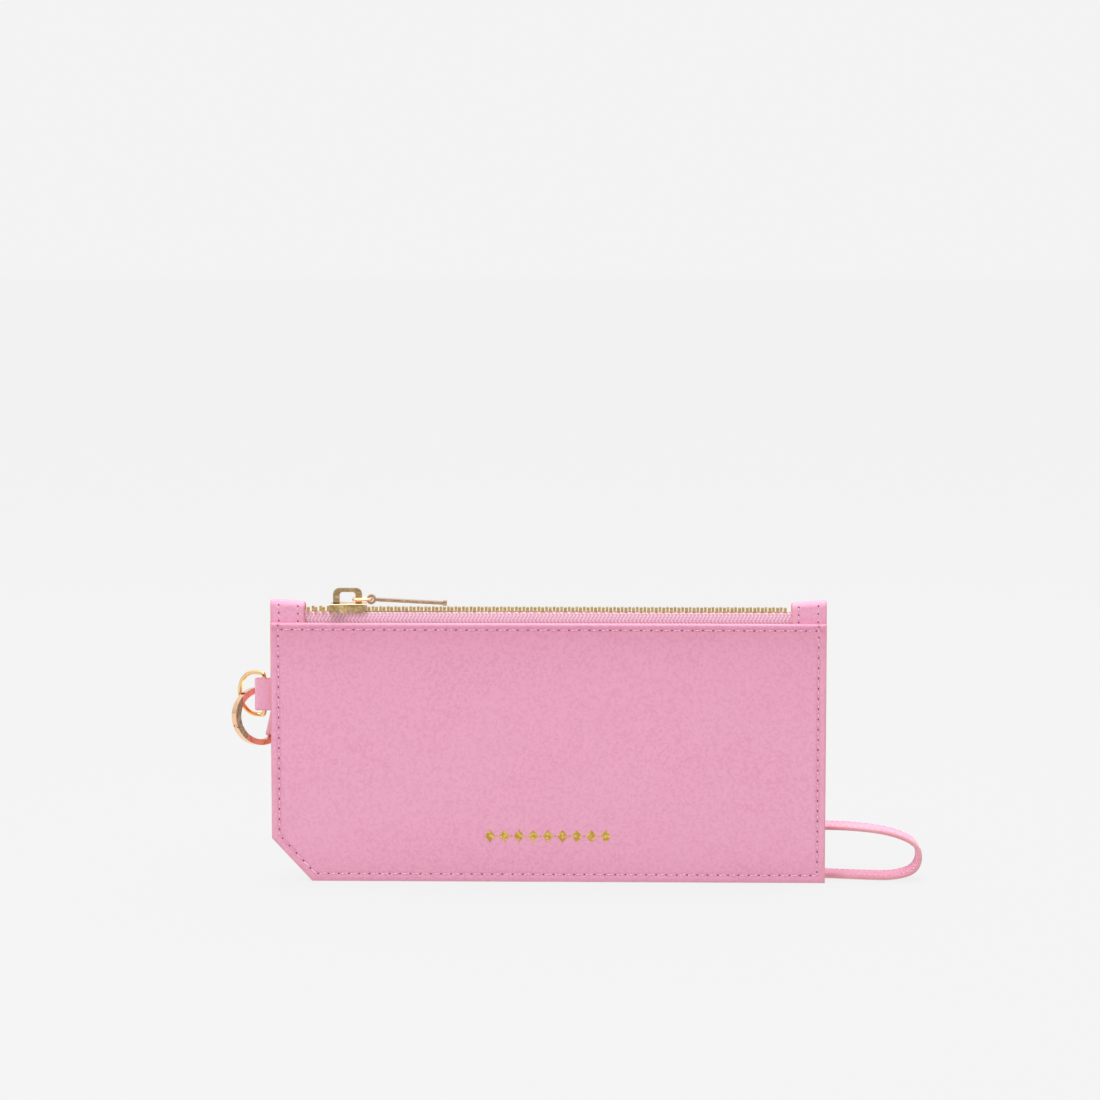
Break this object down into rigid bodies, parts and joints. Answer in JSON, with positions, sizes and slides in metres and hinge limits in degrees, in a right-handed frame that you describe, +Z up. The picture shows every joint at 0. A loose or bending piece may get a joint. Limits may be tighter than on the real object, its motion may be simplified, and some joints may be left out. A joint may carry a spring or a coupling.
{
  "type": "wristlet wallet",
  "caption": "Slim zip-top wristlet wallet in pink leather with a front slip pocket, gold pull, side D-ring and a wrist strap on a spring-gate ring.",
  "frame": {"origin": "middle of the base the wallet stands on, in the plane of the zip", "axes": "+X along the zip towards the end away from the D-ring, -Y is the front with the slip pocket, +Z up"},
  "size_m": [0.2152, 0.0219, 0.0915],
  "materials": {
    "pink_leather": "fine pebble grain, soft sheen",
    "bonded_core": "painted edge",
    "lining_cloth": "plain weave",
    "zip_tape": "herringbone weave",
    "zip_brass": "polished",
    "gold_hardware": "polished light gold plate",
    "spring_steel": "drawn wire",
    "gold_foil": "hot-stamped foil"
  },
  "bodies": {
    "wallet": {"slip_pocket_panel": "pink_leather", "front_panel": "pink_leather", "back_panel": "pink_leather", "seam_core": "bonded_core", "lining_bag": "lining_cloth", "zip_tab_left": "pink_leather", "zip_tab_right": "pink_leather", "zip_tape_front": "zip_tape", "zip_tape_rear": "zip_tape", "zip_teeth_front": "zip_brass", "zip_teeth_rear": "zip_brass", "zip_top_stops": "zip_brass", "zip_bottom_stop": "zip_brass", "d_ring_tab": "pink_leather", "foil_ornament": "gold_foil", "wrist_strap": "pink_leather"},
    "slider": {"zip_slider": "gold_hardware", "slider_bridge": "gold_hardware"},
    "pull_link": {"pull_link": "gold_hardware"},
    "pull": {"zip_pull": "gold_hardware"},
    "d_ring": {"d_ring": "gold_hardware"},
    "gate_ring": {"gate_ring_body": "gold_hardware", "gate_hinge_pin": "spring_steel", "gate_spring": "spring_steel"},
    "ring_gate": {"ring_gate": "gold_hardware"},
    "strap_tab": {"strap_tab": "pink_leather"}
  },
  "joints": [
    {"name": "zip_slide", "type": "slide", "parent": "wallet", "child": "slider", "axis": [1, 0, 0], "range_m": [-0.006, 0.128], "deforming": ["zip_tab_right", "zip_teeth_front", "zip_teeth_rear"]},
    {"name": "link_swing", "type": "hinge", "parent": "slider", "child": "pull_link", "pos_m": [-0.0604, 0, 0.088], "axis": [0, -1, 0], "range_deg": [0, 105]},
    {"name": "pull_swing", "type": "hinge", "parent": "pull_link", "child": "pull", "pos_m": [-0.0548, 0, 0.088], "axis": [0, -1, 0], "range_deg": [0, 70]},
    {"name": "d_ring_swing", "type": "hinge", "parent": "wallet", "child": "d_ring", "pos_m": [-0.0884, 0, 0.05825], "axis": [0, 0, 1], "range_deg": [-2, 60], "deforming": ["wrist_strap"]},
    {"name": "gate_ring_turn", "type": "hinge", "parent": "d_ring", "child": "gate_ring", "pos_m": [-0.09045, 0.0052, 0.05055], "axis": [0.5709, -0.8092, 0.1392], "range_deg": [-4, 40], "deforming": ["wrist_strap"]},
    {"name": "ring_gate_hinge", "type": "hinge", "parent": "gate_ring", "child": "ring_gate", "pos_m": [-0.0967, 0.0004, 0.04829], "axis": [0.5709, -0.8092, 0.1392], "range_deg": [0, 25], "stiffness_Nm_per_rad": 0.002, "springref_deg": -11.46},
    {"name": "strap_tab_swing", "type": "hinge", "parent": "gate_ring", "child": "strap_tab", "pos_m": [-0.0847, 0.00886, 0.04825], "axis": [0.1879, 0.2938, 0.9372], "range_deg": [-3, 10], "deforming": ["wrist_strap"]}
  ]
}
